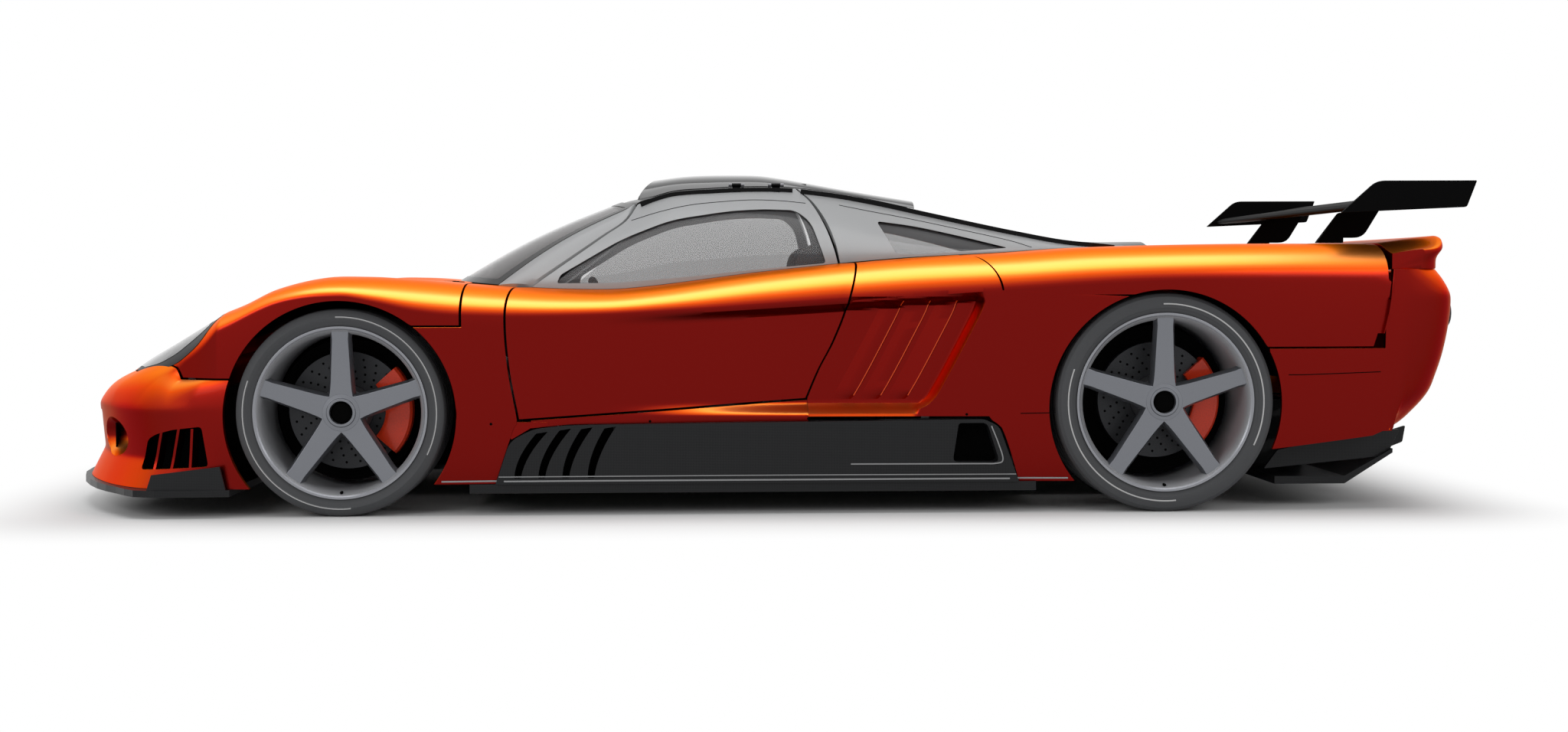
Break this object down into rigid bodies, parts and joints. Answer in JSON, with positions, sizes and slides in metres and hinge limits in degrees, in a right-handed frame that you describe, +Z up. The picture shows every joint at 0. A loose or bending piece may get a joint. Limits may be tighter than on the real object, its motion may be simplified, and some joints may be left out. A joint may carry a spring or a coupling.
{
  "type": "supercar",
  "caption": "Low mid-engined two-seat coupe with a wing, opening doors and front and rear clamshells, and wheels that turn and steer.",
  "frame": {"origin": "on the ground, in the middle of the car's length and width", "axes": "+X towards the tail, +Y towards the right side, +Z up"},
  "size_m": [4.82, 1.992, 1.155],
  "materials": {
    "body_paint": "gloss",
    "carbon": "satin",
    "clear_lens": "gloss",
    "dark_plastic": "matte",
    "dark_steel": "satin",
    "exhaust": "gloss",
    "frame_grey": "satin",
    "glazing": "gloss",
    "gloss_black": "gloss",
    "machined": "satin",
    "red_lens": "gloss",
    "trim": "matte",
    "tyre_rubber": "matte",
    "wheel_silver": "satin"
  },
  "bodies": {
    "chassis": {"floor_tub": "carbon", "front_box": "carbon", "rear_frame": "carbon", "jack_pads": "dark_steel", "front_splitter": "carbon", "front_bumper": "body_paint", "windscreen": "glazing", "roof_panel": "gloss_black", "roof_scoop": "gloss_black", "cabin_frame": "frame_grey", "quarter_glass": "glazing", "front_side_panels": "body_paint", "rear_quarter_left": "body_paint", "rear_quarter_right": "body_paint", "side_pods": "carbon", "rear_bumper": "body_paint", "ducktail": "body_paint", "diffuser": "carbon", "tail_lamps": "red_lens", "exhaust_tips": "exhaust", "engine_block": "dark_steel", "seats": "trim", "dashboard": "dark_plastic", "steering_wheel": "dark_plastic", "rear_bulkhead": "dark_plastic", "front_wishbones": "dark_steel", "rear_uprights": "machined", "hinge_brackets": "machined"},
    "front_lid": {"front_clamshell": "body_paint", "headlamps": "clear_lens", "front_lid_hinges": "machined"},
    "rear_lid": {"rear_clamshell": "body_paint", "rear_lid_hinges": "machined", "wing": "gloss_black", "wing_end_plates": "gloss_black", "wing_pylons": "gloss_black"},
    "left_door": {"door_left": "body_paint", "door_glass_left": "glazing", "door_hinge_left": "machined"},
    "right_door": {"door_right": "body_paint", "door_glass_right": "glazing", "door_hinge_right": "machined"},
    "left_knuckle": {"knuckle_front_left": "machined"},
    "right_knuckle": {"knuckle_front_right": "machined"},
    "wheel_front_left": {"tyre_front_left": "tyre_rubber", "rim_front_left": "wheel_silver"},
    "wheel_front_right": {"tyre_front_right": "tyre_rubber", "rim_front_right": "wheel_silver"},
    "wheel_rear_left": {"tyre_rear_left": "tyre_rubber", "rim_rear_left": "wheel_silver"},
    "wheel_rear_right": {"tyre_rear_right": "tyre_rubber", "rim_rear_right": "wheel_silver"}
  },
  "joints": [
    {"name": "front_lid_hinge", "type": "hinge", "parent": "chassis", "child": "front_lid", "pos_m": [-2.262, 0, 0.356], "axis": [0, -1, 0], "range_deg": [0, 50]},
    {"name": "rear_lid_hinge", "type": "hinge", "parent": "chassis", "child": "rear_lid", "pos_m": [0.56, 0, 0.79], "axis": [0, -1, 0], "range_deg": [0, 35]},
    {"name": "left_door_hinge", "type": "hinge", "parent": "chassis", "child": "left_door", "pos_m": [0, -0.357, 1.105], "axis": [-1, 0, 0], "range_deg": [0, 70]},
    {"name": "right_door_hinge", "type": "hinge", "parent": "chassis", "child": "right_door", "pos_m": [0, 0.357, 1.105], "axis": [1, 0, 0], "range_deg": [0, 70]},
    {"name": "left_steering", "type": "hinge", "parent": "chassis", "child": "left_knuckle", "pos_m": [-1.36, -0.739, 0.338], "axis": [0, 0, 1], "range_deg": [-25, 25]},
    {"name": "right_steering", "type": "hinge", "parent": "chassis", "child": "right_knuckle", "pos_m": [-1.36, 0.739, 0.338], "axis": [0, 0, 1], "range_deg": [-25, 25]},
    {"name": "wheel_front_left_spin", "type": "hinge", "parent": "left_knuckle", "child": "wheel_front_left", "pos_m": [-1.36, -0.965, 0.338], "axis": [0, 1, 0], "continuous": true},
    {"name": "wheel_front_right_spin", "type": "hinge", "parent": "right_knuckle", "child": "wheel_front_right", "pos_m": [-1.36, 0.965, 0.338], "axis": [0, 1, 0], "continuous": true},
    {"name": "wheel_rear_left_spin", "type": "hinge", "parent": "chassis", "child": "wheel_rear_left", "pos_m": [1.34, -0.977, 0.362], "axis": [0, 1, 0], "continuous": true},
    {"name": "wheel_rear_right_spin", "type": "hinge", "parent": "chassis", "child": "wheel_rear_right", "pos_m": [1.34, 0.977, 0.362], "axis": [0, 1, 0], "continuous": true}
  ],
  "couplings": [
    {"joint": "right_steering", "follows": "left_steering", "ratio": 1}
  ]
}
